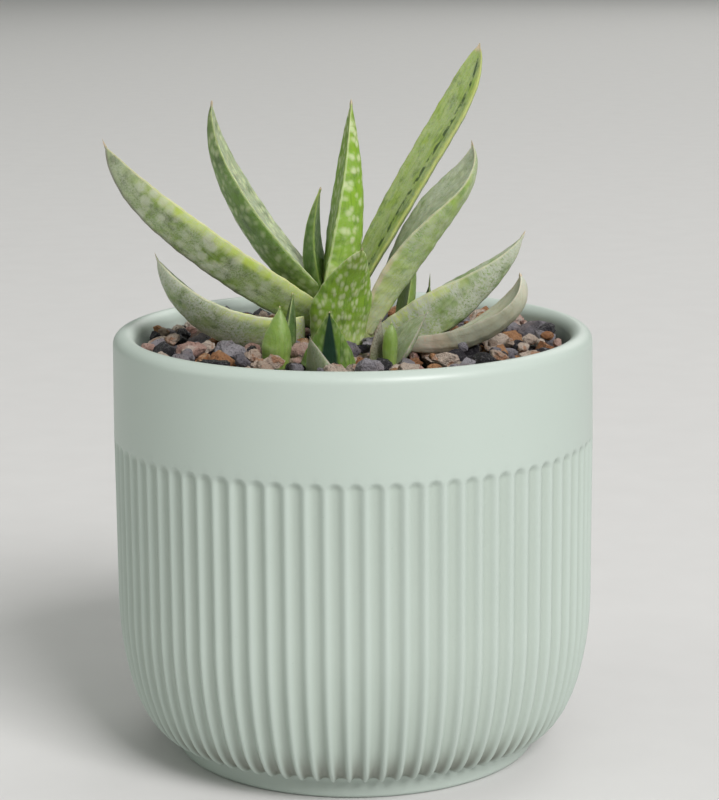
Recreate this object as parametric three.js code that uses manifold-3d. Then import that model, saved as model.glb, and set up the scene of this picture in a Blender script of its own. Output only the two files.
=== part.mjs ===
// A small gasteria with four offsets, in a fluted ceramic pot with a top dressing of grit.
// Millimetres, +Z up. The origin is the centre of the pot's foot, on the surface that it stands on.
// -Y is the front of the plant. A heading of 0 degrees points to +X and one of 90 degrees to +Y.

import * as THREE from "three";
import { mergeVertices } from "three/addons/utils/BufferGeometryUtils.js";
import Module from "manifold-3d";

const wasm = await Module();
wasm.setup();

// ---------------------------------------------------------------- driving dimensions

const GAP = 0.3; // clearance between pieces that touch
const WELD = 1e-3; // vertices closer than this are one vertex

const POT_HEIGHT = 93;
const BODY_RADIUS = 52.3; // at the arrises between the flutes
const RIM_RADIUS = 52.0; // the wall leans in a little towards the rim
const LIP_RADIUS = 2.4; // half-round lip, so the wall is twice this thick
const FOOT_RADIUS = 39.9;
const FOOT_HEIGHT = 4.2;
const FOOT_RECESS = 2.0; // the underside is hollowed inside the foot ring
const FOOT_WALL = 4.5;
const BOWL_TOP = 35; // the straight wall starts here, above the curved bottom
const BOWL_BOTTOM = 4.5;
const BOWL_BULGE = 10.8; // how far the body stands out from the edge of its underside
const FLOOR = 8.5; // inner floor of the pot
const INNER_BULGE = 13;

const FLUTES = 81;
const FLUTE_START = 1.44; // degrees from +X to the first arris
const FLUTE_DEPTH = 0.7;
const FLUTE_END = 1.8; // height of the arch at the top of each flute
const BAND_BOTTOM = 70.8; // the flutes end here, below a plain band

const SOIL_TOP = 80;
const GRIT_TOP = 88.6;
const GRIT_SWELL = 0.6;
const FILL_SEGMENTS = 42;

const LEAF_SIDES = 8;
const LEAF_SECTIONS = 8;
const STEP_COUNT = 40; // steps along a leaf's midline when its curve is added up
const CURL_START = 0.65; // a leaf's extra upward curl begins at this share of its length
const MARGIN_LIFT = 0.4; // height of the margins over the midline, as a share of the depth
const EDGE_SHARE = 0.12; // thickness of the margins, as a share of the depth

// ---------------------------------------------------------------- the plant

// Each leaf starts at base and runs for length along its heading. Its rise goes from the first angle at the
// base to the second at the tip, and curl adds to it near the tip. roll turns its section about its midline,
// from the first angle at the base to the second at the tip.
// width is margin to margin, depth is margin line to keel. keel is [sideways shift, sharpness], and foot is
// the width at the base as a share of the full width, which is reached at peak. taper shapes the tip.
const LEAVES = [
  {
    name: "leaf_heart", base: [-4.8, 8, 94.2], length: 29.7, heading: 160,
    rise: [59.8, 113.6], curl: -5, roll: [2, -2], width: 5.9, depth: 4.3,
    keel: [0, 0.6], foot: 0.8, peak: 0.4, taper: [1.3, 0.9], channel: 0.1,
  },
  {
    name: "leaf_centre_upright", base: [-5.8, 6, 92.2], length: 50.4, heading: 10,
    rise: [74.8, 92.3], curl: -4, roll: [-11, 16], width: 8.6, depth: 7,
    keel: [0.2, 0.5], foot: 0.78, peak: 0.4, taper: [1.5, 0.9], channel: 0.1,
  },
  {
    name: "leaf_left_upright", base: [-2.4, 8, 94.8], length: 57.1, heading: 166,
    rise: [34.8, 76.5], curl: 22.8, roll: [11, -5], width: 9.5, depth: 6.8,
    keel: [0.2, 0.6], foot: 0.32, peak: 0.35, taper: [2.3, 0.9], channel: 0.2,
  },
  {
    name: "leaf_right_long", base: [-3.8, 8, 92], length: 69.8, heading: 9,
    rise: [62, 56.5], curl: 25, roll: [32, 47], width: 7.6, depth: 3.9,
    keel: [0.2, 0.6], foot: 0.37, peak: 0.5, taper: [5.3, 0.8], channel: 0.2,
  },
  {
    name: "leaf_right_broad", base: [3.3, 3, 91], length: 49, heading: 2,
    rise: [70, 37.5], curl: 70, roll: [-30, 45], width: 10.6, depth: 7,
    keel: [0.1, 0.5], foot: 0.3, peak: 0.5, taper: [2.2, 0.8], channel: 0.2,
  },
  {
    name: "leaf_left_long", base: [-4.8, 4, 92.8], length: 69.4, heading: 208,
    rise: [27.5, 46.6], curl: 24.5, roll: [18, 6], width: 9.8, depth: 6.5,
    keel: [0.2, 0.6], foot: 0.57, peak: 0.35, taper: [3.8, 0.8], channel: 0.25,
  },
  {
    name: "leaf_front_broad", base: [-2.8, -3, 86.5], length: 29.9, heading: 294,
    rise: [89.3, 36.4], curl: 12, roll: [0, 0], width: 14.2, depth: 4,
    keel: [0, 0.1], foot: 0.74, peak: 0.45, taper: [1, 0.7], channel: 0.1,
  },
  {
    name: "leaf_left_low", base: [-11, 0, 92], length: 40.5, heading: 197,
    rise: [-6, 66.5], curl: 6, roll: [23, -12], width: 10, depth: 7,
    keel: [0.2, 0.5], foot: 0.87, peak: 0.4, taper: [2, 0.8], channel: 0.2,
  },
  {
    name: "leaf_right_low", base: [6.7, -2, 90.9], length: 39.6, heading: 351,
    rise: [25.9, 45], curl: 23.4, roll: [-17, 12], width: 9.7, depth: 9.2,
    keel: [0.2, 0.5], foot: 0.58, peak: 0.4, taper: [1.1, 0.8], channel: 0.2,
  },
  {
    name: "leaf_right_dry", base: [11.9, -7, 90.5], length: 32.9, heading: 345,
    rise: [-1.2, 58.7], curl: 55, roll: [-27, 41], width: 5.5, depth: 4.6,
    keel: [0.2, 0.4], foot: 0.58, peak: 0.5, taper: [3.4, 0.8], channel: 0.3,
  },
  {
    name: "rear_offset_leaf", base: [10.6, 12, 88], length: 19.5, heading: 20,
    rise: [76, 84], curl: 0, roll: [0, 0], width: 6, depth: 3,
    keel: [0, 0.5], foot: 0.8, peak: 0.4, taper: [2, 0.8], channel: 0.2,
  },
  {
    name: "rear_offset_tip", base: [16, 16, 87.5], length: 15, heading: 20,
    rise: [80, 88], curl: 0, roll: [0, 0], width: 4, depth: 2,
    keel: [0, 0.5], foot: 0.8, peak: 0.4, taper: [1.4, 0.9], channel: 0.1,
  },
  {
    name: "left_offset_front_leaf", base: [-15.9, -15.5, 87.5], length: 13.3, heading: 310,
    rise: [78, 93], curl: 0, roll: [0, 0], width: 6.8, depth: 4.2,
    keel: [0, 0.1], foot: 0.8, peak: 0.35, taper: [1.6, 0.9], channel: 0,
  },
  {
    name: "left_offset_back_leaf", base: [-14.2, -9.5, 87.5], length: 15, heading: 10,
    rise: [82, 86], curl: 0, roll: [0, 0], width: 4.6, depth: 2.6,
    keel: [0, 0.3], foot: 0.8, peak: 0.35, taper: [1.5, 0.9], channel: 0.1,
  },
  {
    name: "front_offset_striped_leaf", base: [-5.1, -19, 87.3], length: 13.8, heading: 275,
    rise: [78, 70], curl: 0, roll: [0, 0], width: 11.6, depth: 2.8,
    keel: [0, 0.2], foot: 0.95, peak: 0.1, taper: [1.1, 0.9], channel: 0.1,
  },
  {
    name: "front_offset_grey_leaf", base: [-6.6, -25.6, 87], length: 9.6, heading: 215,
    rise: [70, 76], curl: 0, roll: [0, 0], width: 11.4, depth: 2.2,
    keel: [0, 0.2], foot: 0.95, peak: 0.12, taper: [1.1, 0.9], channel: 0.1,
  },
  {
    name: "right_offset_brown_leaf", base: [5.2, -15, 87.5], length: 10.6, heading: 330,
    rise: [85, 84], curl: 0, roll: [0, 0], width: 4.6, depth: 2,
    keel: [0, 0.3], foot: 0.9, peak: 0.3, taper: [1.3, 0.9], channel: 0.1,
  },
  {
    name: "right_offset_cupped_leaf", base: [8, -18.6, 87.8], length: 9.8, heading: 300,
    rise: [84, 92], curl: 0, roll: [0, 0], width: 3.4, depth: 2,
    keel: [0, 0.2], foot: 0.8, peak: 0.5, taper: [2.4, 0.7], channel: 0.2,
  },
  {
    name: "right_offset_broad_leaf", base: [8.6, -12.6, 87.8], length: 13, heading: 0,
    rise: [62, 48], curl: 0, roll: [25, 25], width: 9, depth: 2.6,
    keel: [0.1, 0.3], foot: 0.7, peak: 0.35, taper: [1.5, 0.9], channel: 0.1,
  },
];

// Short stems that carry the leaves: centre, radius, lowest and highest point.
const STEMS = [
  { name: "stem", centre: [0, 4.5], radius: 6, bottom: 74, top: 93 },
  { name: "left_offset_stem", centre: [-14.6, -11.6], radius: 2.6, bottom: 76, top: 89 },
  { name: "front_offset_stem", centre: [-4.5, -22.8], radius: 2.8, bottom: 76, top: 89 },
  { name: "right_offset_stem", centre: [6.6, -15.2], radius: 2.6, bottom: 76, top: 89 },
  { name: "rear_offset_stem", centre: [12.6, 13.6], radius: 2.8, bottom: 76, top: 89 },
];

// The larger stones of the top dressing: heading and distance from the pot's axis, and size across.
const STONES = [
  { heading: 2, distance: 42, size: 5.5 },
  { heading: 24, distance: 39, size: 5 },
  { heading: 45, distance: 41, size: 6 },
  { heading: 68, distance: 38, size: 5 },
  { heading: 90, distance: 41, size: 5.5 },
  { heading: 113, distance: 39, size: 6 },
  { heading: 136, distance: 41, size: 5 },
  { heading: 158, distance: 39, size: 5.5 },
  { heading: 178, distance: 42, size: 5 },
  { heading: 196, distance: 42, size: 6.5 },
  { heading: 212, distance: 37, size: 5.5 },
  { heading: 226, distance: 41, size: 6.5 },
  { heading: 240, distance: 36, size: 6 },
  { heading: 252, distance: 42, size: 5 },
  { heading: 264, distance: 36, size: 5.5 },
  { heading: 275, distance: 42.5, size: 4.5 },
  { heading: 288, distance: 37, size: 6 },
  { heading: 302, distance: 41, size: 5.5 },
  { heading: 318, distance: 37, size: 6.5 },
  { heading: 332, distance: 42, size: 6 },
  { heading: 345, distance: 43, size: 5 },
  { heading: 276.5, distance: 29.5, size: 5 },
  { heading: 232, distance: 27, size: 5 },
  { heading: 314, distance: 28, size: 5.5 },
];

const COLOURS = {
  pot: { color: 0xa9beb2, roughness: 0.45, metalness: 0 },
  soil: { color: 0x2b211b, roughness: 1, metalness: 0 },
  grit: { color: 0x6d625c, roughness: 0.95, metalness: 0 },
  stem: { color: 0x9aa36a, roughness: 0.7, metalness: 0 },
  leaf: { color: 0x6f9a3a, roughness: 0.5, metalness: 0 },
  dryLeaf: { color: 0xb5b59a, roughness: 0.7, metalness: 0 },
  stone: { color: 0xa28b7a, roughness: 0.95, metalness: 0 },
};

// ---------------------------------------------------------------- helpers

const radians = THREE.MathUtils.degToRad;

// A closed geometry as a manifold-3d solid.
function solidOf(geometry) {
  const bare = new THREE.BufferGeometry();
  bare.setAttribute("position", geometry.getAttribute("position"));
  if (geometry.index) bare.setIndex(geometry.index);
  const merged = mergeVertices(bare, WELD);
  return new wasm.Manifold(
    new wasm.Mesh({
      numProp: 3,
      vertProperties: merged.getAttribute("position").array,
      triVerts: new Uint32Array(merged.index.array),
    }),
  );
}

function geometryOf(solid) {
  const mesh = solid.getMesh();
  const geometry = new THREE.BufferGeometry();
  geometry.setAttribute("position", new THREE.BufferAttribute(mesh.vertProperties, 3));
  geometry.setIndex(new THREE.BufferAttribute(mesh.triVerts, 1));
  geometry.computeVertexNormals();
  return geometry;
}

// A cut can leave crumbs beside the piece, so only the largest body is kept.
function largestBody(solid) {
  return solid.decompose().reduce((best, body) => (body.volume() > best.volume() ? body : best));
}

function cutBy(solid, tools) {
  return largestBody(tools.reduce((rest, tool) => rest.subtract(tool), solid));
}

// Turns a profile of [radius, height] points about the Z axis.
function turned(profile, segments) {
  const points = profile.map(([radius, height]) => new THREE.Vector2(radius, height));
  return new THREE.LatheGeometry(points, segments).rotateX(Math.PI / 2);
}

// Points along a quarter of an ellipse, from the edge of a flat underside up to a straight wall.
function bowlCurve(wallRadius, bulge, bottom, top, steps) {
  return Array.from({ length: steps + 1 }, (_, i) => {
    const angle = (Math.PI / 2) * (i / steps);
    return [wallRadius - bulge + bulge * Math.sin(angle), top - (top - bottom) * Math.cos(angle)];
  });
}

// ---------------------------------------------------------------- pot, soil and grit

function lipCurve(steps) {
  const middle = RIM_RADIUS - LIP_RADIUS;
  return Array.from({ length: steps + 1 }, (_, i) => {
    const angle = Math.PI * (i / steps);
    return [middle + LIP_RADIUS * Math.cos(angle), POT_HEIGHT - LIP_RADIUS + LIP_RADIUS * Math.sin(angle)];
  });
}

const INNER_RADIUS = RIM_RADIUS - 2 * LIP_RADIUS;

function innerBowl(inset, steps) {
  return bowlCurve(INNER_RADIUS - inset, INNER_BULGE, FLOOR + inset, BOWL_TOP, steps);
}

// Hollows the wall between the arrises, on every second vertex of the given rows of the turned profile.
function cutFlutes(geometry, rowCount, firstRow, lastRow) {
  const position = geometry.getAttribute("position");
  for (let i = 0; i < position.count; i++) {
    const row = i % rowCount;
    const segment = Math.floor(i / rowCount);
    if (row < firstRow || row > lastRow || segment % 2 === 0) continue;
    const radius = Math.hypot(position.getX(i), position.getY(i));
    const share = (radius - FLUTE_DEPTH) / radius;
    position.setXY(i, position.getX(i) * share, position.getY(i) * share);
  }
}

function potGeometry() {
  const foot = [
    [0, FOOT_RECESS],
    [FOOT_RADIUS - FOOT_WALL, FOOT_RECESS],
    [FOOT_RADIUS - FOOT_WALL + 0.5, 0],
    [FOOT_RADIUS - 0.5, 0],
    [FOOT_RADIUS, 0.5],
    [FOOT_RADIUS, FOOT_HEIGHT],
  ];
  const body = [
    ...bowlCurve(BODY_RADIUS, BOWL_BULGE, BOWL_BOTTOM, BOWL_TOP, 4),
    [BODY_RADIUS, BAND_BOTTOM - FLUTE_END],
  ];
  const band = [[BODY_RADIUS, BAND_BOTTOM], ...lipCurve(4)];
  const inside = [...innerBowl(0, 2).reverse(), [0, FLOOR]];
  const profile = [...foot, ...body, ...band, ...inside];
  const pot = turned(profile, 2 * FLUTES);
  cutFlutes(pot, profile.length, foot.length, foot.length + body.length - 1);
  return pot.rotateZ(radians(FLUTE_START));
}

function soilGeometry() {
  const profile = [[0, FLOOR + GAP], ...innerBowl(GAP, 2), [INNER_RADIUS - GAP, SOIL_TOP], [0, SOIL_TOP]];
  return turned(profile, FILL_SEGMENTS);
}

// The bed of small grit, with a gently uneven top, on which the larger stones lie.
function gritGeometry() {
  const bottom = SOIL_TOP + GAP;
  const wall = INNER_RADIUS - GAP;
  const rings = [1, 0.6].map((share) => [wall * share, GRIT_TOP]);
  const geometry = turned([[0, bottom], [wall, bottom], ...rings, [0, GRIT_TOP]], FILL_SEGMENTS);
  const position = geometry.getAttribute("position");
  for (let i = 0; i < position.count; i++) {
    const x = position.getX(i);
    const y = position.getY(i);
    if (position.getZ(i) > bottom + WELD) {
      position.setZ(i, GRIT_TOP + GRIT_SWELL * Math.sin(0.31 * x + 1) * Math.sin(0.27 * y));
    }
  }
  return geometry;
}

// An angular stone: a faceted ball, stretched and dented by its number in the list.
function stoneGeometry(stone, index, grow) {
  const geometry = new THREE.IcosahedronGeometry(1, 0);
  const position = geometry.getAttribute("position");
  const point = new THREE.Vector3();
  const half = stone.size / 2;
  const stretch = new THREE.Vector3(1.05, 0.85 + 0.2 * Math.sin(index), 0.8).multiplyScalar(half);
  for (let i = 0; i < position.count; i++) {
    point.fromBufferAttribute(position, i);
    const dent = 1 + 0.14 * Math.sin(4 * point.x + index) * Math.cos(3 * point.y + 2 * point.z + index);
    point.multiplyScalar(dent).multiply(stretch).addScaledVector(point.clone().normalize(), grow);
    position.setXYZ(i, point.x, point.y, point.z);
  }
  const angle = radians(stone.heading);
  geometry.rotateZ(index);
  const height = GRIT_TOP + 0.35 * half;
  return geometry.translate(stone.distance * Math.cos(angle), stone.distance * Math.sin(angle), height);
}

// ---------------------------------------------------------------- stems and leaves

function stemGeometry(stem, grow) {
  const radius = stem.radius + grow;
  const profile = [
    [0, stem.bottom - grow],
    [radius * 0.7, stem.bottom - grow],
    [radius, stem.top - stem.radius],
    [radius * 0.7, stem.top - stem.radius * 0.2 + grow],
    [0, stem.top + grow],
  ];
  return turned(profile, 12).translate(stem.centre[0], stem.centre[1], 0);
}

// The share of a leaf's full width that it has at t, from 0 at its base to 1 at its tip.
function widthShare(leaf, t) {
  if (t < leaf.peak) {
    const s = t / leaf.peak;
    return leaf.foot + (1 - leaf.foot) * s * (2 - s);
  }
  const s = (t - leaf.peak) / (1 - leaf.peak);
  return Math.pow(Math.max(0, 1 - Math.pow(s, leaf.taper[0])), leaf.taper[1]);
}

function directionAt(leaf, t) {
  const curl = leaf.curl * Math.pow(Math.max(0, (t - CURL_START) / (1 - CURL_START)), 2);
  const rise = radians(leaf.rise[0] + (leaf.rise[1] - leaf.rise[0]) * t + curl);
  const heading = radians(leaf.heading);
  return new THREE.Vector3(
    Math.cos(rise) * Math.cos(heading),
    Math.cos(rise) * Math.sin(heading),
    Math.sin(rise),
  );
}

// A point on the leaf's midline, found by adding up short steps from its base.
function midlinePoint(leaf, t) {
  const point = new THREE.Vector3(...leaf.base);
  for (let i = 0; i < STEP_COUNT; i++) {
    const middle = (t * (i + 0.5)) / STEP_COUNT;
    point.addScaledVector(directionAt(leaf, middle), (leaf.length * t) / STEP_COUNT);
  }
  return point;
}

// The section of a leaf at u, from -1 at one margin to 1 at the other: a thin channelled upper face over
// a belly that is round or keeled. Gives [across, up] in shares of half the width and of the depth.
function sectionPoint(leaf, u, upper) {
  const round = Math.sqrt(Math.max(0, 1 - u * u));
  const [shift, sharpness] = leaf.keel;
  if (upper) return [u, MARGIN_LIFT + EDGE_SHARE * round - leaf.channel * (1 - u * u)];
  const belly = (1 - sharpness) * round + sharpness * (1 - Math.abs(u));
  return [u + shift * (1 - u * u), MARGIN_LIFT - belly];
}

// A cone whose rings are moved to the leaf's sections; its point becomes the tip.
function leafGeometry(leaf, grow) {
  const geometry = new THREE.CylinderGeometry(0, 1, 1, LEAF_SIDES, LEAF_SECTIONS);
  const position = geometry.getAttribute("position");
  const heading = radians(leaf.heading);
  const level = new THREE.Vector3(Math.sin(heading), -Math.cos(heading), 0);
  for (let i = 0; i < position.count; i++) {
    const x = position.getX(i);
    const z = position.getZ(i);
    const t = Math.min(1, position.getY(i) + 0.5);
    const ring = Math.hypot(x, z);
    const roll = radians(leaf.roll[0] + (leaf.roll[1] - leaf.roll[0]) * t);
    const along = directionAt(leaf, t);
    const normal = new THREE.Vector3().crossVectors(level, along);
    const side = level.clone().multiplyScalar(Math.cos(roll)).addScaledVector(normal, -Math.sin(roll));
    const up = normal.multiplyScalar(Math.cos(roll)).addScaledVector(level, Math.sin(roll));
    const point = midlinePoint(leaf, t);
    if (ring > WELD) {
      const share = widthShare(leaf, t);
      const [across, height] = sectionPoint(leaf, x / ring, z >= -WELD);
      point.addScaledVector(side, across * (share * 0.5 * leaf.width + grow));
      point.addScaledVector(up, height * share * leaf.depth + (z / ring) * grow);
    }
    if (t < WELD) point.addScaledVector(along, -grow);
    if (t > 1 - WELD) point.addScaledVector(along, grow);
    position.setXYZ(i, point.x, point.y, point.z);
  }
  return geometry;
}

// ---------------------------------------------------------------- assembly

const plant = new THREE.Group();

function addMesh(name, geometry, colours) {
  const mesh = new THREE.Mesh(geometry, new THREE.MeshStandardMaterial(colours));
  mesh.name = name;
  plant.add(mesh);
}

addMesh("pot", potGeometry(), COLOURS.pot);

// Stems stand first, then each leaf and stone is trimmed to clear what was placed before it.
const placed = [];

for (const stem of STEMS) {
  addMesh(stem.name, stemGeometry(stem, 0), COLOURS.stem);
  placed.push(solidOf(stemGeometry(stem, GAP)));
}

for (const leaf of LEAVES) {
  const trimmed = cutBy(solidOf(leafGeometry(leaf, 0)), placed);
  addMesh(leaf.name, geometryOf(trimmed), leaf.name === "leaf_right_dry" ? COLOURS.dryLeaf : COLOURS.leaf);
  placed.push(solidOf(leafGeometry(leaf, GAP)));
}

STONES.forEach((stone, index) => {
  const number = String(index + 1).padStart(2, "0");
  const trimmed = cutBy(solidOf(stoneGeometry(stone, index, 0)), placed);
  addMesh(`grit_stone_${number}`, geometryOf(trimmed), COLOURS.stone);
  placed.push(solidOf(stoneGeometry(stone, index, GAP)));
});

addMesh("grit_bed", geometryOf(cutBy(solidOf(gritGeometry()), placed)), COLOURS.grit);
addMesh("soil", geometryOf(cutBy(solidOf(soilGeometry()), placed)), COLOURS.soil);

export default plant;
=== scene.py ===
"""The looks of a small potted gasteria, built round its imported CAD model.

Everything is in metres in the CAD model's frame: +Z up, the origin under the middle of the pot's foot, and
-Y the front of the plant. Leaf sizes are stated in millimetres, as they are in the CAD source.
"""

import math
import random

import bmesh
import bpy
import numpy as np
from mathutils import Matrix, Vector, noise
from mathutils.bvhtree import BVHTree


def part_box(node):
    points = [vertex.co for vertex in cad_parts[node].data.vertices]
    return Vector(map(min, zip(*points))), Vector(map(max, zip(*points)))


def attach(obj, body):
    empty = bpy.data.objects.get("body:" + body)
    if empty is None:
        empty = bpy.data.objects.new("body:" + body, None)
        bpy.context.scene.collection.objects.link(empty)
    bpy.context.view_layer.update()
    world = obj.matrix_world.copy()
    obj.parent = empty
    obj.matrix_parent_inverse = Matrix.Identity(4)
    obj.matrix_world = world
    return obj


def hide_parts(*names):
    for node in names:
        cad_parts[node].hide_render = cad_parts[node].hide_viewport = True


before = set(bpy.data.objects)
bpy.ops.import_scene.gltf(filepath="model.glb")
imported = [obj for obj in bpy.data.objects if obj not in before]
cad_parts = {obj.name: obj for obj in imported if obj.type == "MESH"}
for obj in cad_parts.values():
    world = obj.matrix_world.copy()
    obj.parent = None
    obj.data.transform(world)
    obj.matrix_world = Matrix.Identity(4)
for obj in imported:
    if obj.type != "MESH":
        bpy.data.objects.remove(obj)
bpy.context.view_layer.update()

MM = 0.001

# ---------------------------------------------------------------- the pot's dimensions, from the frame

POT_LOW, POT_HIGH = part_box("pot")
POT_HEIGHT = POT_HIGH.z
BODY_RADIUS = (POT_HIGH.x - POT_LOW.x) / 2
RIM_RADIUS = BODY_RADIUS - 0.3 * MM
LIP_RADIUS = 2.4 * MM
FOOT_RADIUS = 39.9 * MM
FOOT_HEIGHT = 4.2 * MM
FOOT_WALL = 4.5 * MM
FOOT_RECESS = 2.0 * MM
BOWL_TOP = 35 * MM
BOWL_BOTTOM = 4.5 * MM
BOWL_BULGE = 10.8 * MM
BAND_BOTTOM = 70.8 * MM
INNER_RADIUS = RIM_RADIUS - 2 * LIP_RADIUS

FLUTES = 81
FLUTE_START = math.radians(1.44)  # from +X to the first arris
FLUTE_DEPTH = 0.78 * MM
FOOT_DEPTH = 0.5 * MM  # how much deeper the flutes are where they reach the foot
STEPS_PER_FLUTE = 16

GRIT_LOW, GRIT_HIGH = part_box("grit_bed")
GRIT_WALL = GRIT_HIGH.x - 0.2 * MM


def linear(red, green, blue):
    """An sRGB colour of 0 to 255 as the linear colour that shaders take."""
    shares = [channel / 255 for channel in (red, green, blue)]
    return tuple(s / 12.92 if s <= 0.04045 else ((s + 0.055) / 1.055) ** 2.4 for s in shares)


# ---------------------------------------------------------------- camera, lights and floor

CAMERA_DISTANCE = 0.5
CAMERA_HEIGHT = 0.18206
CAMERA_DOWN = 0.20736
CAMERA_ROLL = -0.008433
CAMERA_LENS = 104.95
CAMERA_SHIFT = 0.00795


def make_camera():
    data = bpy.data.cameras.new("camera")
    data.lens = CAMERA_LENS
    data.sensor_width = 36
    data.shift_x = CAMERA_SHIFT
    camera = bpy.data.objects.new("camera", data)
    bpy.context.collection.objects.link(camera)
    turn = Matrix.Rotation(math.pi / 2 - CAMERA_DOWN, 4, "X") @ Matrix.Rotation(CAMERA_ROLL, 4, "Z")
    camera.matrix_world = Matrix.Translation((0, -CAMERA_DISTANCE, CAMERA_HEIGHT)) @ turn
    bpy.context.scene.camera = camera


def make_light(name, heading, rise, distance, size, power, colour):
    """A soft square light that faces the plant. A heading of -90 degrees is in front."""
    data = bpy.data.lights.new(name, "AREA")
    data.size = size
    data.energy = power
    data.color = colour
    light = bpy.data.objects.new(name, data)
    bpy.context.collection.objects.link(light)
    heading, rise = math.radians(heading), math.radians(rise)
    away = Vector((math.cos(rise) * math.cos(heading), math.cos(rise) * math.sin(heading), math.sin(rise)))
    light.location = Vector((0, 0, POT_HEIGHT)) + distance * away
    light.rotation_euler = away.to_track_quat("Z", "Y").to_euler()


def make_studio():
    make_light("key", -56, 40, 4.0, 1.8, 165, (1.0, 0.97, 0.98))
    make_light("fill", -172, 24, 4.0, 2.0, 19, (0.95, 1.0, 0.92))
    make_light("rear_fill", 70, 30, 4.0, 2.4, 26, (1.0, 0.98, 0.96))
    make_light("overhead", 90, 89.9, 3.2, 9, 80, (1.0, 0.99, 0.98))
    world = bpy.data.worlds.new("studio")
    world.use_nodes = True
    world.node_tree.nodes["Background"].inputs["Color"].default_value = (0.88, 0.92, 0.86, 1)
    world.node_tree.nodes["Background"].inputs["Strength"].default_value = 0.2
    bpy.context.scene.world = world
    bpy.context.scene.view_settings.view_transform = "Standard"


# ---------------------------------------------------------------- mesh helpers


def make_mesh(name, points, faces, material, smooth=True):
    mesh = bpy.data.meshes.new(name)
    mesh.from_pydata([tuple(p) for p in points], [], [tuple(f) for f in faces])
    mesh.validate()
    piece = bpy.data.objects.new(name, mesh)
    bpy.context.collection.objects.link(piece)
    mesh.materials.append(material)
    mesh.polygons.foreach_set("use_smooth", [smooth] * len(mesh.polygons))
    return piece


def write_attribute(piece, name, values):
    """One number for each vertex, which a material reads by name."""
    layer = piece.data.attributes.new(name, "FLOAT", "POINT")
    layer.data.foreach_set("value", np.asarray(values, np.float32).ravel())


def write_vectors(piece, name, values):
    layer = piece.data.attributes.new(name, "FLOAT_VECTOR", "POINT")
    layer.data.foreach_set("vector", np.asarray(values, np.float32).ravel())


def ring_faces(rings, around, start=0):
    """Quads between rings of vertices that are stored one ring after another."""
    row = np.arange(around)
    after = (row + 1) % around
    faces = []
    for ring in range(rings - 1):
        low = start + ring * around
        high = low + around
        faces += list(zip(low + row, low + after, high + after, high + row))
    return faces


def add_piece(piece, slot, *nodes):
    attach(piece, "root")
    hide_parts(*nodes)


def coat_node(name, material):
    """Gives a CAD node that stays in sight a material."""
    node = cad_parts[name]
    node.data.materials.clear()
    node.data.materials.append(material)


# ---------------------------------------------------------------- material helpers


class Shader:
    """A material made by short calls. A value is a number, a colour or another node's output."""

    def __init__(self, name):
        self.material = bpy.data.materials.new(name)
        self.material.use_nodes = True
        self.tree = self.material.node_tree
        self.surface = self.tree.nodes["Principled BSDF"]

    def _put(self, socket, value):
        if isinstance(value, bpy.types.NodeSocket):
            self.tree.links.new(value, socket)
        elif isinstance(value, (int, float)):
            socket.default_value = value
        else:
            size = len(socket.default_value)
            socket.default_value = (tuple(value) + (1,))[:size]

    def attribute(self, name, vector=False):
        node = self.tree.nodes.new("ShaderNodeAttribute")
        node.attribute_name = name
        return node.outputs["Vector" if vector else "Fac"]

    def position(self):
        return self.tree.nodes.new("ShaderNodeTexCoord").outputs["Object"]

    def math(self, operation, a, b=0.0, clamp=False):
        node = self.tree.nodes.new("ShaderNodeMath")
        node.operation = operation
        node.use_clamp = clamp
        self._put(node.inputs[0], a)
        self._put(node.inputs[1], b)
        return node.outputs[0]

    def stretched(self, vector, scale):
        node = self.tree.nodes.new("ShaderNodeVectorMath")
        node.operation = "MULTIPLY"
        self._put(node.inputs[0], vector)
        self._put(node.inputs[1], scale)
        return node.outputs[0]

    def noise(self, vector, scale=1.0, detail=3.0, roughness=0.5, distortion=0.0):
        node = self.tree.nodes.new("ShaderNodeTexNoise")
        self._put(node.inputs["Vector"], vector)
        self._put(node.inputs["Scale"], scale)
        self._put(node.inputs["Detail"], detail)
        self._put(node.inputs["Roughness"], roughness)
        self._put(node.inputs["Distortion"], distortion)
        return node.outputs["Fac"]

    def cells(self, vector, scale=1.0, randomness=1.0):
        node = self.tree.nodes.new("ShaderNodeTexVoronoi")
        self._put(node.inputs["Vector"], vector)
        self._put(node.inputs["Scale"], scale)
        self._put(node.inputs["Randomness"], randomness)
        return node.outputs["Distance"]

    def between(self, value, low, high):
        """0 at low and 1 at high, smoothly. low may be over high."""
        node = self.tree.nodes.new("ShaderNodeMapRange")
        node.interpolation_type = "SMOOTHSTEP"
        flip = low > high
        self._put(node.inputs["Value"], value)
        self._put(node.inputs["From Min"], min(low, high))
        self._put(node.inputs["From Max"], max(low, high))
        self._put(node.inputs["To Min"], 1.0 if flip else 0.0)
        self._put(node.inputs["To Max"], 0.0 if flip else 1.0)
        return node.outputs["Result"]

    def mix(self, share, a, b):
        node = self.tree.nodes.new("ShaderNodeMix")
        node.data_type = "RGBA"
        self._put(node.inputs["Factor"], share)
        self._put(node.inputs["A"], a)
        self._put(node.inputs["B"], b)
        return node.outputs["Result"]

    def times(self, *values):
        total = values[0]
        for value in values[1:]:
            total = self.math("MULTIPLY", total, value)
        return total

    def bump(self, height, strength, distance):
        node = self.tree.nodes.new("ShaderNodeBump")
        self._put(node.inputs["Strength"], strength)
        self._put(node.inputs["Distance"], distance)
        self._put(node.inputs["Height"], height)
        self._put(self.surface.inputs["Normal"], node.outputs["Normal"])

    def finish(self, colour, roughness, **constants):
        self._put(self.surface.inputs["Base Color"], colour)
        self._put(self.surface.inputs["Roughness"], roughness)
        for name, value in constants.items():
            self._put(self.surface.inputs[name.replace("_", " ")], value)
        return self.material


# ---------------------------------------------------------------- floor


FLOOR_HALF = 8.0


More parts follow.
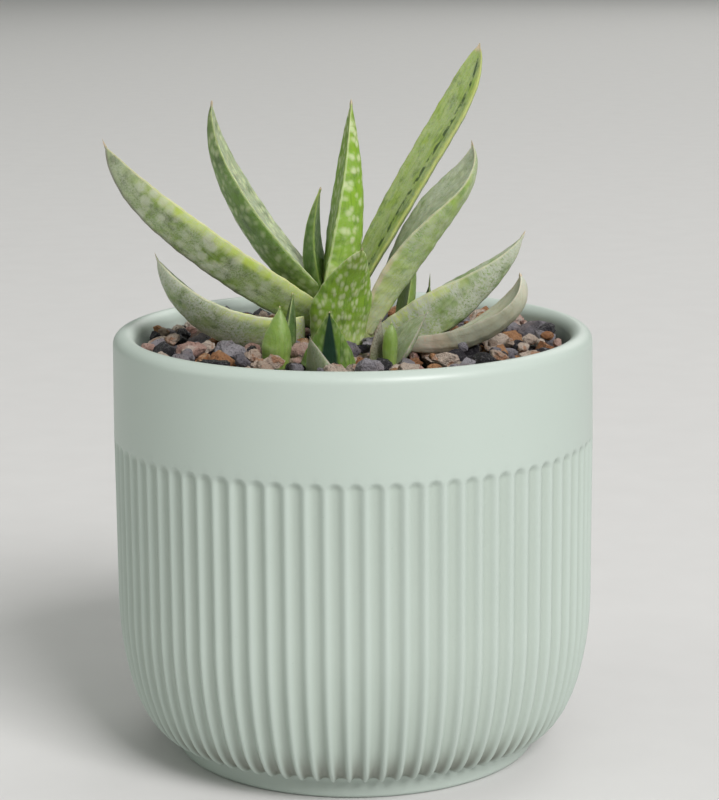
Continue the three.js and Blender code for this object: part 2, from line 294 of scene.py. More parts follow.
def make_floor():
    shader = Shader("floor_paper")
    grain = shader.noise(shader.position(), 60.0, 4.0)
    colour = shader.mix(grain, (0.60, 0.60, 0.59), (0.64, 0.64, 0.63))
    material = shader.finish(colour, 0.8)
    half = FLOOR_HALF
    corners = [(-half, -half, 0), (half, -half, 0), (half, half, 0), (-half, half, 0)]
    make_mesh("floor", corners, [(0, 1, 2, 3)], material, smooth=False)


# ---------------------------------------------------------------- pot


def pot_profile():
    """(radius, height, fluted) from the middle of the underside, up the outside, over the lip and down."""
    foot_middle = FOOT_RADIUS - FOOT_WALL
    rows = [(0.001 * MM, FOOT_RECESS, 0), (foot_middle - 0.6 * MM, FOOT_RECESS, 0)]
    rows += [(foot_middle, FOOT_RECESS - 0.5 * MM, 0), (foot_middle + 0.3 * MM, 0.3 * MM, 0)]
    rows += [(foot_middle + 0.9 * MM, 0, 0), (FOOT_RADIUS - 1.0 * MM, 0, 0)]
    for step in range(1, 5):
        angle = math.pi / 2 * step / 4
        rows.append((FOOT_RADIUS - MM * (1 - math.sin(angle)), MM * (1 - math.cos(angle)), 0))
    rows += [(FOOT_RADIUS, FOOT_HEIGHT - 0.9 * MM, 0), (FOOT_RADIUS + 0.02 * MM, FOOT_HEIGHT - 0.3 * MM, 0)]
    rows.append((FOOT_RADIUS + 0.35 * MM, BOWL_BOTTOM - 0.02 * MM, 0))
    bowl_steps = 22
    for step in range(bowl_steps + 1):
        angle = math.pi / 2 * (0.03 + 0.97 * step / bowl_steps)
        radius = BODY_RADIUS - BOWL_BULGE * (1 - math.sin(angle))
        rows.append((radius, BOWL_TOP - (BOWL_TOP - BOWL_BOTTOM) * math.cos(angle), 1))
    for height in (44, 53, 62):
        rows.append((BODY_RADIUS, height * MM, 1))
    arch_steps = 14
    arch_height = 2.6 * MM
    for step in range(arch_steps + 1):
        rows.append((BODY_RADIUS, BAND_BOTTOM - arch_height + arch_height * 1.1 * step / arch_steps, 1))
    rows += [(BODY_RADIUS - 0.05 * MM, BAND_BOTTOM + 2 * MM, 0), (BODY_RADIUS - 0.15 * MM, 80 * MM, 0)]
    lip_middle = RIM_RADIUS - LIP_RADIUS
    lip_height = POT_HEIGHT - LIP_RADIUS
    rows.append((RIM_RADIUS, lip_height - 1.5 * MM, 0))
    lip_steps = 16
    for step in range(lip_steps + 1):
        angle = math.pi * step / lip_steps
        reach = LIP_RADIUS * math.cos(angle)
        rows.append((lip_middle + reach, lip_height + LIP_RADIUS * math.sin(angle), 0))
    rows += [(INNER_RADIUS, 88 * MM, 0), (INNER_RADIUS, 84 * MM, 0), (INNER_RADIUS, 60 * MM, 0)]
    rows += [(INNER_RADIUS - 1 * MM, 30 * MM, 0), (0.001 * MM, 29 * MM, 0)]
    return np.array(rows)


def flute_depth(across, height):
    """How deep the glaze lies under the arris, for a distance from the flute's middle and a height."""
    half = math.pi * BODY_RADIUS / FLUTES
    over = max(0, height - (BAND_BOTTOM - 0.85 * half))
    reach = np.clip(np.hypot(across, over) / half, 0, 1)
    low = max(0, 1 - height / BOWL_TOP)
    return (FLUTE_DEPTH + FOOT_DEPTH * low ** 1.5) * (1 + np.cos(np.pi * reach ** 1.3)) / 2


def make_pot():
    profile = pot_profile()
    around = FLUTES * STEPS_PER_FLUTE
    turn = FLUTE_START + np.arange(around) / around * 2 * np.pi
    across = ((np.arange(around) / STEPS_PER_FLUTE) % 1 - 0.5) * 2 * np.pi * BODY_RADIUS / FLUTES
    slope = np.gradient(profile[:, :2], axis=0)
    slope /= np.linalg.norm(slope, axis=1)[:, None]
    points = []
    relief = []
    for (radius, height, fluted), (outward, upward) in zip(profile, slope):
        depth = flute_depth(across, height) * fluted
        ring = radius - depth * upward
        points.append(np.stack([ring * np.cos(turn), ring * np.sin(turn), height + depth * outward], axis=1))
        relief.append(1 - depth / FLUTE_DEPTH)
    faces = ring_faces(len(profile), around)
    last = (len(profile) - 1) * around
    faces += [tuple(range(around))[::-1], tuple(range(last, last + around))]
    pot = make_mesh("glazed_pot", np.concatenate(points), faces, pot_material())
    write_attribute(pot, "relief", np.concatenate(relief))
    write_attribute(pot, "height", np.repeat(profile[:, 1], around) / MM)
    add_piece(pot, "glazed_pot", "pot")


def pot_material():
    shader = Shader("sage_glaze")
    place = shader.position()
    relief = shader.attribute("relief")
    cloud = shader.noise(place, 35.0, 3.0)
    speck = shader.between(shader.noise(place, 1400.0, 2.0), 0.70, 0.80)
    colour = shader.mix(cloud, linear(178, 191, 182), linear(184, 196, 188))
    groove = shader.between(relief, 0.9, 0.0)
    colour = shader.mix(shader.times(groove, 0.45), colour, linear(158, 170, 158))
    # Painted shade and painted dark reflection: the flute floors turn darker and browner towards the foot,
    # where the bowl curves under.
    painted_foot_shade = shader.times(groove, shader.between(shader.attribute("height"), 14.0, 4.0))
    colour = shader.mix(shader.times(painted_foot_shade, 0.6), colour, linear(92, 84, 68))
    colour = shader.mix(shader.times(speck, 0.12), colour, linear(120, 130, 118))
    shader.bump(shader.noise(place, 260.0, 4.0, 0.6), 0.08, 0.0004)
    roughness = shader.math("ADD", 0.33, shader.times(cloud, 0.12))
    return shader.finish(colour, roughness, Specular_IOR_Level=0.5)


# ---------------------------------------------------------------- leaves

LEAF_AROUND = 48
LEAF_ALONG = 120
CURL_START = 0.65
MARGIN_LIFT = 0.4
EDGE_SHARE = 0.12
SPIKE_HALF = 0.32  # half the width of the fine point at a leaf's tip, in mm

# In mm and degrees; the CAD source says what each value means.
LEAVES = [
    dict(name="leaf_heart", style="striped_keel", base=(-4.8, 8, 94.2), length=29.7, heading=160,
         rise=(59.8, 113.6), curl=-5, roll=(2, -2), width=5.9, depth=4.3,
         keel=(0, 0.6), foot=0.8, peak=0.4, taper=(1.3, 0.9), channel=0.1),
    dict(name="leaf_centre_upright", style="bright_spotted", base=(-5.8, 6, 92.2), length=50.4, heading=10,
         rise=(74.8, 92.3), curl=-4, roll=(-11, 16), width=8.6, depth=7,
         keel=(0.2, 0.5), foot=0.78, peak=0.4, taper=(1.5, 0.9), channel=0.1),
    dict(name="leaf_left_upright", style="spotted", base=(-2.4, 8, 94.8), length=57.1, heading=166,
         rise=(34.8, 76.5), curl=22.8, roll=(11, -5), width=9.5, depth=6.8,
         keel=(0.2, 0.6), foot=0.32, peak=0.35, taper=(2.3, 0.9), channel=0.2),
    dict(name="leaf_right_long", style="streaked", base=(-3.8, 8, 92), length=69.8, heading=9,
         rise=(62, 56.5), curl=25, roll=(32, 47), width=7.6, depth=3.9,
         keel=(0.2, 0.6), foot=0.37, peak=0.5, taper=(5.3, 0.8), channel=0.2),
    dict(name="leaf_right_broad", style="grey_topped", base=(3.3, 3, 91), length=49, heading=2,
         rise=(70, 37.5), curl=70, roll=(-30, 45), width=10.6, depth=7,
         keel=(0.1, 0.5), foot=0.3, peak=0.5, taper=(2.2, 0.8), channel=0.2),
    dict(name="leaf_left_long", style="mottled", base=(-4.8, 4, 92.8), length=69.4, heading=208,
         rise=(27.5, 46.6), curl=24.5, roll=(18, 6), width=9.8, depth=6.5,
         keel=(0.2, 0.6), foot=0.57, peak=0.35, taper=(3.8, 0.8), channel=0.25),
    dict(name="leaf_front_broad", style="bright_spotted", base=(-2.8, -3, 86.5), length=29.9, heading=294,
         rise=(89.3, 36.4), curl=12, roll=(0, 0), width=14.2, depth=4,
         keel=(0, 0.1), foot=0.74, peak=0.45, taper=(1, 0.7), channel=0.1),
    dict(name="leaf_left_low", style="silvered", base=(-11, 0, 92), length=40.5, heading=197,
         rise=(-6, 66.5), curl=6, roll=(23, -12), width=10, depth=7,
         keel=(0.2, 0.5), foot=0.87, peak=0.4, taper=(2, 0.8), channel=0.2),
    dict(name="leaf_right_low", style="silvered", base=(6.7, -2, 90.9), length=39.6, heading=351,
         rise=(25.9, 45), curl=23.4, roll=(-17, 12), width=9.7, depth=9.2,
         keel=(0.2, 0.5), foot=0.58, peak=0.4, taper=(1.1, 0.8), channel=0.2),
    dict(name="leaf_right_dry", style="dry", base=(11.9, -7, 90.5), length=32.9, heading=345,
         rise=(-1.2, 58.7), curl=55, roll=(-27, 41), width=5.5, depth=4.6,
         keel=(0.2, 0.4), foot=0.58, peak=0.5, taper=(3.4, 0.8), channel=0.3),
    dict(name="rear_offset_leaf", style="young", base=(10.6, 12, 88), length=19.5, heading=20,
         rise=(76, 84), curl=0, roll=(0, 0), width=6, depth=3,
         keel=(0, 0.5), foot=0.8, peak=0.4, taper=(2, 0.8), channel=0.2),
    dict(name="rear_offset_tip", style="dark_young", base=(16, 16, 87.5), length=15, heading=20,
         rise=(80, 88), curl=0, roll=(0, 0), width=4, depth=2,
         keel=(0, 0.5), foot=0.8, peak=0.4, taper=(1.4, 0.9), channel=0.1),
    dict(name="left_offset_front_leaf", style="young", base=(-15.9, -15.5, 87.5), length=13.3, heading=310,
         rise=(78, 93), curl=0, roll=(0, 0), width=6.8, depth=4.2,
         keel=(0, 0.1), foot=0.8, peak=0.35, taper=(1.6, 0.9), channel=0),
    dict(name="left_offset_back_leaf", style="dark_young", base=(-14.2, -9.5, 87.5), length=15, heading=10,
         rise=(82, 86), curl=0, roll=(0, 0), width=4.6, depth=2.6,
         keel=(0, 0.3), foot=0.8, peak=0.35, taper=(1.5, 0.9), channel=0.1),
    dict(name="front_offset_striped_leaf", style="dark_centre", base=(-5.1, -19, 87.3), length=13.8,
         heading=275, rise=(78, 70), curl=0, roll=(0, 0), width=11.6, depth=2.8,
         keel=(0, 0.2), foot=0.95, peak=0.1, taper=(1.1, 0.9), channel=0.1),
    dict(name="front_offset_grey_leaf", style="grey_young", base=(-6.6, -25.6, 87), length=9.6, heading=215,
         rise=(70, 76), curl=0, roll=(0, 0), width=11.4, depth=2.2,
         keel=(0, 0.2), foot=0.95, peak=0.12, taper=(1.1, 0.9), channel=0.1),
    dict(name="right_offset_brown_leaf", style="brown_young", base=(5.2, -15, 87.5), length=10.6,
         heading=330, rise=(85, 84), curl=0, roll=(0, 0), width=4.6, depth=2,
         keel=(0, 0.3), foot=0.9, peak=0.3, taper=(1.3, 0.9), channel=0.1),
    dict(name="right_offset_cupped_leaf", style="young", base=(8, -18.6, 87.8), length=9.8, heading=300,
         rise=(84, 92), curl=0, roll=(0, 0), width=3.4, depth=2,
         keel=(0, 0.2), foot=0.8, peak=0.5, taper=(2.4, 0.7), channel=0.2),
    dict(name="right_offset_broad_leaf", style="grey_young", base=(8.6, -12.6, 87.8), length=13, heading=0,
         rise=(62, 48), curl=0, roll=(25, 25), width=9, depth=2.6,
         keel=(0.1, 0.3), foot=0.7, peak=0.35, taper=(1.5, 0.9), channel=0.1),
]


def leaf_directions(leaf, t):
    """The unit vector along the leaf at each t, from 0 at its base to 1 at its tip."""
    curl = leaf["curl"] * (np.maximum(0, (t - CURL_START) / (1 - CURL_START))) ** 2
    rise = np.radians(leaf["rise"][0] + (leaf["rise"][1] - leaf["rise"][0]) * t + curl)
    heading = np.radians(leaf["heading"])
    return np.stack([np.cos(rise) * np.cos(heading), np.cos(rise) * np.sin(heading), np.sin(rise)], axis=1)


def leaf_midline(leaf, t):
    """Points on the midline, found by adding up short steps from the base."""
    middles = (t[1:] + t[:-1]) / 2
    steps = leaf_directions(leaf, middles) * (np.diff(t) * leaf["length"])[:, None]
    return np.array(leaf["base"], float) + np.concatenate([np.zeros((1, 3)), np.cumsum(steps, axis=0)])


def leaf_widths(leaf, t):
    """The share of the full width at each t, slightly uneven, and ending in a fine point."""
    spike = SPIKES.get(leaf["name"], SMALL_SPIKE) / leaf["length"]
    body = np.minimum(1, t / (1 - spike))
    rising = np.clip(body / leaf["peak"], 0, 1)
    lower = leaf["foot"] + (1 - leaf["foot"]) * rising * (2 - rising)
    falling = np.clip((body - leaf["peak"]) / (1 - leaf["peak"]), 0, 1)
    upper = np.maximum(0, 1 - falling ** leaf["taper"][0]) ** leaf["taper"][1]
    place = t * leaf["length"]
    uneven = 1 + 0.014 * np.sin(0.8 * place + leaf["heading"]) + 0.01 * np.sin(1.9 * place)
    point = 2 * SPIKE_HALF / leaf["width"] * np.minimum(1, (1 - t) / spike)
    return np.maximum(np.where(body < leaf["peak"], lower, upper) * uneven, point)


def leaf_section(leaf, angle):
    """Across and up, in shares of half the width and of the depth, round one section of the leaf."""
    u = np.cos(angle)
    round_part = np.abs(np.sin(angle))
    upper = np.sin(angle) >= 0
    shift, sharpness = leaf["keel"]
    top = EDGE_SHARE * round_part ** 0.6 - leaf["channel"] * (1 - u * u)
    belly = -(1 - sharpness) * round_part - sharpness * (1 - np.sqrt(u * u + 0.004))
    across = np.where(upper, u, u + shift * (1 - u * u))
    return across, np.where(upper, top, belly) + MARGIN_LIFT


def distance_from(rings, start):
    """How far along the skin each point of a ring lies from the ring's point number start, in mm."""
    turned = np.roll(rings, -start, axis=1)
    steps = np.linalg.norm(np.roll(turned, -1, axis=1) - turned, axis=2)
    forward = np.cumsum(steps, axis=1) - steps
    shorter = np.minimum(forward, steps.sum(axis=1)[:, None] - forward)
    return np.roll(shorter, start, axis=1)


def make_leaf(leaf, index):
    t = 1 - (1 - np.linspace(0, 1, LEAF_ALONG)) ** 1.25
    angle = np.arange(LEAF_AROUND) / LEAF_AROUND * 2 * np.pi
    middle = leaf_midline(leaf, t)
    along = leaf_directions(leaf, t)
    heading = math.radians(leaf["heading"])
    roll = np.radians(leaf["roll"][0] + (leaf["roll"][1] - leaf["roll"][0]) * t)[:, None]
    level = np.array([[math.sin(heading), -math.cos(heading), 0]])
    normal = np.cross(level, along)
    side = level * np.cos(roll) - normal * np.sin(roll)
    up = normal * np.cos(roll) + level * np.sin(roll)
    across, height = leaf_section(leaf, angle)
    share = leaf_widths(leaf, t)
    half = share * leaf["width"] / 2
    depth = share * leaf["depth"]
    rings = (middle[:, None] + side[:, None] * (across[None] * half[:, None])[..., None]
             + up[:, None] * (height[None] * depth[:, None])[..., None])
    if leaf["style"] == "dry":
        furrows = 0.14 * np.sin(9 * angle + 1)[None] * np.sin(np.pi * t)[:, None]
        rings = rings + up[:, None] * furrows[..., None]
    faces = [face[::-1] for face in ring_faces(LEAF_ALONG, LEAF_AROUND)]
    faces.append(tuple(range(LEAF_AROUND)))
    material = leaf_material(leaf["style"])
    piece = make_mesh(leaf["name"] + "_skin", rings.reshape(-1, 3) * MM, faces, material)
    near = 0 if math.cos(heading) >= 0 else LEAF_AROUND // 2
    far = (near + LEAF_AROUND // 2) % LEAF_AROUND
    u = np.cos(angle)
    write_attribute(piece, "along", np.repeat(t, LEAF_AROUND))
    write_attribute(piece, "across", np.tile(u if near == 0 else -u, LEAF_ALONG))
    write_attribute(piece, "upper", np.tile((np.sin(angle) > 0.01).astype(float), LEAF_ALONG))
    write_attribute(piece, "near", distance_from(rings, near))
    write_attribute(piece, "far", distance_from(rings, far))
    write_attribute(piece, "keel", distance_from(rings, 3 * LEAF_AROUND // 4))
    skin = np.stack([
        half[:, None] * u[None] * 1.2,
        np.repeat(t * leaf["length"], LEAF_AROUND).reshape(LEAF_ALONG, -1),
        np.full((LEAF_ALONG, LEAF_AROUND), 17.0 * index) + np.where(np.sin(angle) > 0, 5.0, 0)[None],
    ], axis=-1)
    write_vectors(piece, "skin", skin.reshape(-1, 3))
    add_piece(piece, leaf_slot(leaf), leaf["name"])
    return piece


def leaf_slot(leaf):
    if leaf["style"] == "dry":
        return "dry_leaf"
    return "leaf" if leaf["name"].startswith("leaf_") else "offset_leaf"


# The length of the fine point at a leaf's tip, in mm, and what it is on the leaves that aren't named.
SMALL_SPIKE = 0.6
SPIKES = {
    "leaf_left_long": 2.0, "leaf_left_low": 1.8, "leaf_right_low": 1.6, "leaf_right_broad": 1.3,
    "leaf_centre_upright": 1.0, "leaf_front_broad": 1.0, "rear_offset_tip": 2.5,
}

# Colours in sRGB: low, middle and tip along the belly, the upper face, the deep patches, the band beside
# the near margin and the edge itself; then the strength of the spots and of the bloom. band_end is how
# far along the leaf its band reaches, and band_width is in mm.
STYLES = {
    "bright_spotted": dict(low=(168, 188, 106), middle=(128, 166, 44), tip=(136, 162, 64),
                           deep=(84, 122, 30), spots=0.8, bloom=0.1, edge=(196, 206, 158)),
    "spotted": dict(low=(138, 168, 66), middle=(104, 142, 44), tip=(112, 136, 66), deep=(54, 82, 24),
                    upper=(160, 170, 140), spots=0.65, bloom=0.2, edge=(176, 190, 128)),
    "streaked": dict(low=(132, 152, 88), middle=(116, 142, 56), tip=(140, 172, 44), deep=(64, 92, 32),
                     upper=(144, 166, 80), band=(176, 190, 92), band_width=1.0, band_end=1.1,
                     spots=0.12, bloom=0.3, streak=True, edge=(190, 198, 120)),
    "grey_topped": dict(low=(190, 196, 132), middle=(150, 178, 84), tip=(142, 162, 104), deep=(92, 124, 50),
                        upper=(146, 154, 130), band=(206, 186, 160), band_width=1.2, band_end=0.5,
                        spots=0.45, bloom=0.6, edge=(200, 196, 164)),
    "mottled": dict(low=(136, 162, 62), middle=(112, 138, 56), tip=(124, 138, 100), deep=(48, 62, 26),
                    band=(186, 206, 92), band_width=2.8, band_end=0.9, blotches=0.6,
                    spots=0.25, bloom=0.5, edge=(208, 204, 160), keel_line=(126, 116, 116), keel_share=0.5),
    "silvered": dict(low=(160, 186, 80), middle=(134, 156, 96), tip=(172, 180, 160), deep=(80, 100, 54),
                     band=(192, 206, 108), band_width=2.2, band_end=0.65, spots=0.2, bloom=1.0,
                     edge=(204, 204, 168)),
    "dry": dict(low=(208, 186, 166), middle=(182, 182, 154), tip=(186, 186, 170), deep=(140, 138, 104),
                upper=(176, 176, 150), spots=0.0, bloom=0.7, edge=(206, 200, 182)),
    "striped_keel": dict(low=(120, 154, 54), middle=(84, 120, 40), tip=(104, 128, 54), deep=(42, 68, 22),
                         spots=0.2, bloom=0.08, keel_line=(170, 198, 104), keel_share=1.0,
                         edge=(150, 172, 84)),
    "young": dict(low=(132, 160, 70), middle=(120, 150, 62), tip=(116, 140, 70), deep=(88, 118, 42),
                  spots=0.1, bloom=0.12, edge=(170, 186, 120)),
    "dark_young": dict(low=(86, 114, 40), middle=(62, 92, 30), tip=(84, 106, 54), deep=(40, 66, 22),
                       spots=0.12, bloom=0.08, edge=(150, 168, 100)),
    "dark_centre": dict(low=(110, 142, 54), middle=(94, 126, 44), tip=(50, 78, 44), deep=(44, 74, 34),
                        spots=0.2, bloom=0.05, centre=(26, 52, 38), edge=(140, 166, 84)),
    "grey_young": dict(low=(134, 152, 98), middle=(132, 146, 104), tip=(132, 140, 116), deep=(90, 108, 66),
                       spots=0.15, bloom=0.45, edge=(160, 146, 146)),
    "brown_young": dict(low=(90, 104, 48), middle=(108, 100, 76), tip=(118, 108, 92), deep=(74, 68, 44),
                        spots=0.1, bloom=0.4, edge=(146, 130, 116)),
}

SPOT_COLOUR = linear(196, 208, 160)
BLOTCH_COLOUR = linear(190, 196, 172)
BLOOM_COLOUR = linear(182, 188, 170)
SPIKE_COLOUR = linear(190, 176, 150)
made_materials = {}


def leaf_material(style_name):
    if style_name not in made_materials:
        made_materials[style_name] = new_leaf_material(style_name, STYLES[style_name])
    return made_materials[style_name]


def leaf_ground(shader, style, skin, along):
    """The plain colours of a leaf, with fine lines along it and patches of deep green."""
    colour = shader.mix(shader.between(along, 0.05, 0.45), linear(*style["low"]), linear(*style["middle"]))
    colour = shader.mix(shader.between(along, 0.72, 0.98), colour, linear(*style["tip"]))
    if "upper" in style:
        upper = shader.times(shader.attribute("upper"), 0.85)
        colour = shader.mix(upper, colour, linear(*style["upper"]))
    lines = shader.noise(shader.stretched(skin, (2.6, 0.12, 1)), 1.0, 4.0, 0.6)
    patches = shader.noise(shader.stretched(skin, (0.45, 0.22, 1)), 1.0, 3.0, 0.6)
    deep = linear(*style["deep"])
    colour = shader.mix(shader.times(shader.between(lines, 0.45, 0.75), 0.5), colour, deep)
    colour = shader.mix(shader.times(shader.between(patches, 0.48, 0.68), 0.6), colour, deep)
    return colour, lines


def leaf_spots(shader, skin, spacing, low, high):
    """Soft round spots, with a wobble to their outlines. spacing is in mm."""
    wobble = shader.noise(shader.stretched(skin, (1.2, 0.9, 1)), 1.0, 2.0)
    place = shader.stretched(skin, (1.15 / spacing, 0.7 / spacing, 1))
    distance = shader.cells(place, 1.0, 0.85)
    return shader.between(shader.math("ADD", distance, shader.times(wobble, 0.35)), low, high)


def near_band(shader, style, colour, along):
    """A band of clear colour beside the near margin, which fades out towards the tip."""
    near = shader.attribute("near")
    ragged = shader.noise(shader.stretched(shader.attribute("skin", vector=True), (0.8, 0.5, 1)), 1.0, 3.0)
    reach = shader.math("SUBTRACT", near, shader.times(shader.math("SUBTRACT", ragged, 0.5), 1.6))
    width = style["band_width"]
    beside = shader.between(reach, width, 0.45 * width)
    ending = shader.between(along, style["band_end"], style["band_end"] - 0.25)
    return shader.mix(shader.times(beside, ending, 0.85), colour, linear(*style["band"]))


def dark_streak(shader, colour, skin):
    """A broken dark line along the upper face, nearer to its near margin."""
    broken = shader.between(shader.noise(shader.stretched(skin, (0.6, 0.5, 1)), 1.0, 3.0), 0.42, 0.56)
    offset = shader.math("ABSOLUTE", shader.math("SUBTRACT", shader.attribute("across"), 0.4))
    dark = shader.times(shader.between(offset, 0.15, 0.05), shader.attribute("upper"), broken)
    return shader.mix(shader.times(dark, 0.85), colour, linear(42, 66, 30))


def new_leaf_material(name, style):
    shader = Shader("leaf_" + name)
    skin = shader.attribute("skin", vector=True)
    along = shader.attribute("along")
    colour, lines = leaf_ground(shader, style, skin, along)
    if "band" in style:
        colour = near_band(shader, style, colour, along)
    spot = leaf_spots(shader, skin, 1.35, 0.80, 0.34)
    colour = shader.mix(shader.times(spot, style["spots"]), colour, SPOT_COLOUR)
    if "blotches" in style:
        blotch = leaf_spots(shader, skin, 2.2, 0.76, 0.40)
        part = shader.times(shader.between(along, 0.2, 0.35), shader.between(along, 0.95, 0.8))
        colour = shader.mix(shader.times(blotch, part, style["blotches"]), colour, BLOTCH_COLOUR)
    # A pale waxy bloom, broken into fine grains, greys the older leaves.
    grains = shader.noise(shader.stretched(skin, (2.2, 1.5, 1)), 1.6, 8.0, 0.75)
    cover = shader.noise(shader.stretched(skin, (0.30, 0.16, 1)), 1.0, 3.0, 0.6)
    cover = shader.between(cover, 0.32, 0.56)
    bloom = shader.times(shader.between(grains, 0.36, 0.56), cover, style["bloom"])
    colour = shader.mix(bloom, colour, BLOOM_COLOUR)
    if "streak" in style:
        colour = dark_streak(shader, colour, skin)
    if "centre" in style:
        middle = shader.between(shader.math("ABSOLUTE", shader.attribute("across")), 0.45, 0.25)
        colour = shader.mix(middle, colour, linear(*style["centre"]))
    if "keel_line" in style:
        line = shader.times(shader.between(shader.attribute("keel"), 0.7, 0.25), style["keel_share"])
        colour = shader.mix(line, colour, linear(*style["keel_line"]))
    margin = shader.math("MINIMUM", shader.attribute("near"), shader.attribute("far"))
    edge = shader.times(shader.between(margin, 0.36, 0.12), 0.45)
    colour = shader.mix(edge, colour, linear(*style["edge"]))
    colour = shader.mix(shader.between(along, 0.965, 0.985), colour, SPIKE_COLOUR)
    height = shader.math("ADD", shader.times(lines, 0.5), shader.times(spot, 0.25))
    height = shader.math("ADD", height, shader.times(grains, 0.25))
    shader.bump(height, 0.5, 0.0003)
    roughness = shader.math("ADD", 0.4, shader.times(bloom, 0.3))
    return shader.finish(colour, roughness, Subsurface_Weight=0.08, Subsurface_Scale=0.0015,
                         Specular_IOR_Level=0.4)


def make_stems():
    """The short stems show only in the gaps between leaves, so their CAD solids stay, with a better skin."""
    shader = Shader("stem_skin")
    place = shader.position()
    colour = shader.mix(shader.noise(place, 700.0, 4.0), linear(150, 158, 104), linear(112, 126, 70))
    shader.bump(shader.noise(place, 1200.0, 3.0), 0.4, 0.0003)
    material = shader.finish(colour, 0.6)
    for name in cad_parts:
        if name.endswith("stem"):
            coat_node(name, material)


# ---------------------------------------------------------------- grit and soil

# Each kind of stone: its share of the grit, its darkest and lightest colour, the colours of its patches
# and of its specks, and its roughness.
STONE_KINDS = {
    "pumice": dict(share=0.34, dark=(190, 164, 144), light=(236, 222, 206), patch=(190, 128, 84),
                   speck=(104, 82, 72), rough=0.9),
    "baked_clay": dict(share=0.14, dark=(158, 102, 64), light=(206, 156, 112), patch=(216, 186, 152),
                       speck=(96, 60, 44), rough=0.9),
    "pink_stone": dict(share=0.10, dark=(176, 128, 116), light=(218, 186, 172), patch=(226, 214, 202),
                       speck=(110, 76, 70), rough=0.9),
    "granite": dict(share=0.24, dark=(112, 108, 116), light=(182, 178, 184), patch=(150, 140, 142),
                    speck=(52, 50, 56), rough=0.75),
    "lava": dict(share=0.18, dark=(28, 27, 30), light=(66, 64, 70), patch=(44, 42, 46),
                 speck=(150, 148, 152), rough=0.4),
}
GRAIN_TRIES = 1500
GRAIN_SMALLEST = 1.15 * MM
GRAIN_LARGEST = 3.7 * MM
FINE_GRAIN = 1.5 * MM  # grains with more than this half size are built from the finer ball
GRAIN_FLOOR = 84.6 * MM
GRAIN_OVERLAP = 0.86  # two grains nest this much closer than the sum of their half sizes
GRAIN_SINK = 0.8  # and a grain sinks this much into the hollow between those below it
LEAF_ROOM = 0.75  # a grain's middle is at least this share of its half size from a leaf
GRAIN_CEILING = 91.8 * MM
# The grit lies lower round the small offsets at the front.
OFFSET_BACK = -12 * MM
OFFSET_REACH = 20 * MM
OFFSET_CEILING = 89.8 * MM


def stone_ball(subdivisions):
    """A ball, as an array of unit points and a list of triangles."""
    ball = bmesh.new()
    bmesh.ops.create_icosphere(ball, subdivisions=subdivisions, radius=1)
    points = np.array([v.co for v in ball.verts])
    faces = [[v.index for v in f.verts] for f in ball.faces]
    ball.free()
    return points, faces


def roughness_at(points, offset):
    """Lumps and pits for a stone's surface, from three sizes of noise."""
    totals = []
    for point in points:
        place = Vector(point)
        lumps = 0.20 * noise.noise(place * 1.7 + offset) + 0.16 * noise.noise(place * 4.1 + offset)
        totals.append(lumps + 0.12 * noise.noise(place * 8.3 + offset))
    return np.array(totals)


def shaped_stone(points, dice, half, place):
    """The ball cut by random flat planes and roughened, so that it is an angular, porous pebble."""
    shape = points.copy()
    for _ in range(8):
        way = np.array([dice.gauss(0, 1) for _ in range(3)])
        way /= np.linalg.norm(way)
        cut = dice.uniform(0.44, 0.8)
        over = np.maximum(0, shape @ way - cut)
        shape -= over[:, None] * way * 0.9
    offset = Vector([dice.uniform(0, 50) for _ in range(3)])
    shape *= (1.12 + roughness_at(points, offset))[:, None]
    stretch = np.array([1.12, dice.uniform(0.8, 1.0), dice.uniform(0.65, 0.85)])
    turn = Matrix.Rotation(dice.uniform(0, 6.3), 3, "Z") @ Matrix.Rotation(dice.uniform(-0.5, 0.5), 3, "X")
    return (shape * stretch * half) @ np.array(turn).T + np.array(place)


def settle(dice, taken, half, leaf_tree):
    """A place for one more grain, resting on the floor of the bed or on the grains below it, or None."""
    distance = (GRIT_WALL - half) * math.sqrt(dice.random())
    angle = dice.uniform(0, 2 * math.pi)
    x, y = distance * math.cos(angle), distance * math.sin(angle)
    height = GRAIN_FLOOR + half
    for other_x, other_y, other_z, other_half in taken:
        reach = GRAIN_OVERLAP * (half + other_half)
        gap = reach * reach - (x - other_x) ** 2 - (y - other_y) ** 2
        if gap > 0:
            height = max(height, other_z + math.sqrt(gap) * GRAIN_SINK)
    ceiling = OFFSET_CEILING if y < OFFSET_BACK and abs(x) < OFFSET_REACH else GRAIN_CEILING
    if height + 0.5 * half > ceiling:
        return None
    place = Vector((x, y, height))
    _, _, _, away = leaf_tree.find_nearest(place)
    if away is not None and away < LEAF_ROOM * half:
        return None
    return x, y, height


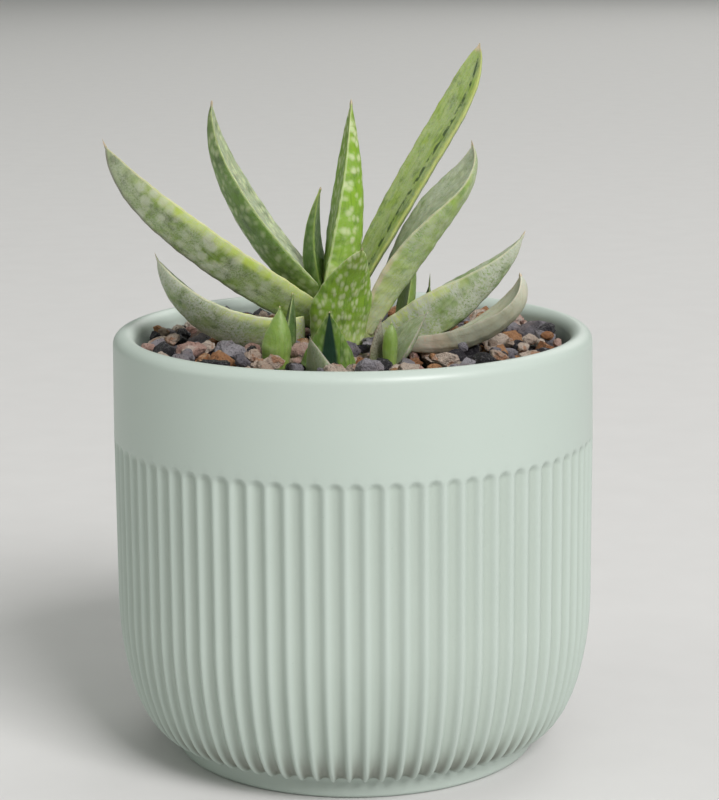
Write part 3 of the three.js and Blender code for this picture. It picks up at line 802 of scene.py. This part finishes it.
def make_grit(leaves):
    dice = random.Random(11)
    balls = [stone_ball(2), stone_ball(3)]
    leaf_tree = joined_tree(leaves)
    taken = []
    for name in sorted(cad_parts):
        if name.startswith("grit_stone"):
            low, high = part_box(name)
            middle = (low + high) / 2
            taken.append((middle.x, middle.y, middle.z, max(high.x - low.x, high.y - low.y) / 2))
    for _ in range(GRAIN_TRIES):
        half = GRAIN_SMALLEST + (GRAIN_LARGEST - GRAIN_SMALLEST) * dice.random() ** 1.4
        spot = settle(dice, taken, half, leaf_tree)
        if spot:
            taken.append((*spot, half))
    kinds = list(STONE_KINDS)
    shares = [STONE_KINDS[kind]["share"] for kind in kinds]
    heaps = {kind: ([], [], []) for kind in kinds}
    for x, y, z, half in taken:
        kind = dice.choices(kinds, shares)[0]
        heap_points, heap_faces, tones = heaps[kind]
        start = len(tones)
        points, faces = balls[half > FINE_GRAIN]
        heap_points.append(shaped_stone(points, dice, half, (x, y, z)))
        heap_faces += [[start + i for i in face] for face in faces]
        tones += [dice.random()] * len(points)
    stones = [n for n in sorted(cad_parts) if n.startswith("grit_stone")]
    for kind, (heap_points, heap_faces, tones) in heaps.items():
        points = np.concatenate(heap_points)
        piece = make_mesh(kind + "_stones", points, heap_faces, stone_material(kind), smooth=False)
        write_attribute(piece, "tone", tones)
        add_piece(piece, "stone", *stones[kinds.index(kind)::len(kinds)])


def joined_tree(pieces):
    points, faces = [], []
    for piece in pieces:
        start = len(points)
        points += [v.co.copy() for v in piece.data.vertices]
        faces += [[start + i for i in face.vertices] for face in piece.data.polygons]
    return BVHTree.FromPolygons(points, faces)


def stone_material(kind):
    look = STONE_KINDS[kind]
    shader = Shader(kind)
    place = shader.position()
    tone = shader.attribute("tone")
    cloud = shader.noise(place, 420.0, 5.0, 0.65)
    blend = shader.math("ADD", shader.times(tone, 0.7), shader.times(shader.between(cloud, 0.35, 0.65), 0.3))
    colour = shader.mix(blend, linear(*look["dark"]), linear(*look["light"]))
    patch = shader.between(shader.noise(place, 260.0, 4.0, 0.6), 0.54, 0.62)
    colour = shader.mix(shader.times(patch, 0.7), colour, linear(*look["patch"]))
    speck = shader.between(shader.noise(place, 1900.0, 4.0, 0.7), 0.57, 0.66)
    colour = shader.mix(shader.times(speck, 0.8), colour, linear(*look["speck"]))
    pores = shader.noise(place, 1500.0, 6.0, 0.75)
    shader.bump(pores, 1.0, 0.002)
    return shader.finish(colour, look["rough"], Specular_IOR_Level=0.4)


BED_TOP = 84.4 * MM
BED_UNEVENNESS = 0.25 * MM
BED_AROUND = 96


def make_bed():
    """Dark damp mix under the grit, seen only through the gaps between stones."""
    shader = Shader("damp_mix")
    place = shader.position()
    colour = shader.mix(shader.noise(place, 900.0, 5.0, 0.7), linear(30, 24, 20), linear(74, 60, 50))
    shader.bump(shader.noise(place, 900.0, 6.0, 0.7), 1.0, 0.001)
    material = shader.finish(colour, 0.95)
    around = BED_AROUND
    shares = np.array([0.0001, 0.15, 0.3, 0.45, 0.6, 0.75, 0.9, 1.0])
    turn = np.arange(around) / around * 2 * np.pi
    dice = np.random.default_rng(4)
    rings = []
    for share in shares:
        radius = share * (INNER_RADIUS - 0.2 * MM)
        height = BED_TOP + dice.normal(0, BED_UNEVENNESS, around)
        rings.append(np.stack([radius * np.cos(turn), radius * np.sin(turn), height], axis=1))
    edge = rings[-1].copy()
    edge[:, 2] = GRIT_LOW.z
    rings.append(edge)
    count = len(rings)
    faces = ring_faces(count, around)
    faces.append(tuple(range(around))[::-1])
    faces.append(tuple(range((count - 1) * around, count * around)))
    faces = [tuple(face[::-1]) for face in faces]
    bed = make_mesh("mix_surface", np.concatenate(rings), faces, material)
    add_piece(bed, "grit", "grit_bed")
    coat_node("soil", material)


# ---------------------------------------------------------------- the scene

make_camera()
make_studio()
make_floor()
make_pot()
leaf_pieces = [make_leaf(leaf, index) for index, leaf in enumerate(LEAVES)]
make_stems()
make_bed()
make_grit(leaf_pieces)

bpy.context.view_layer.update()
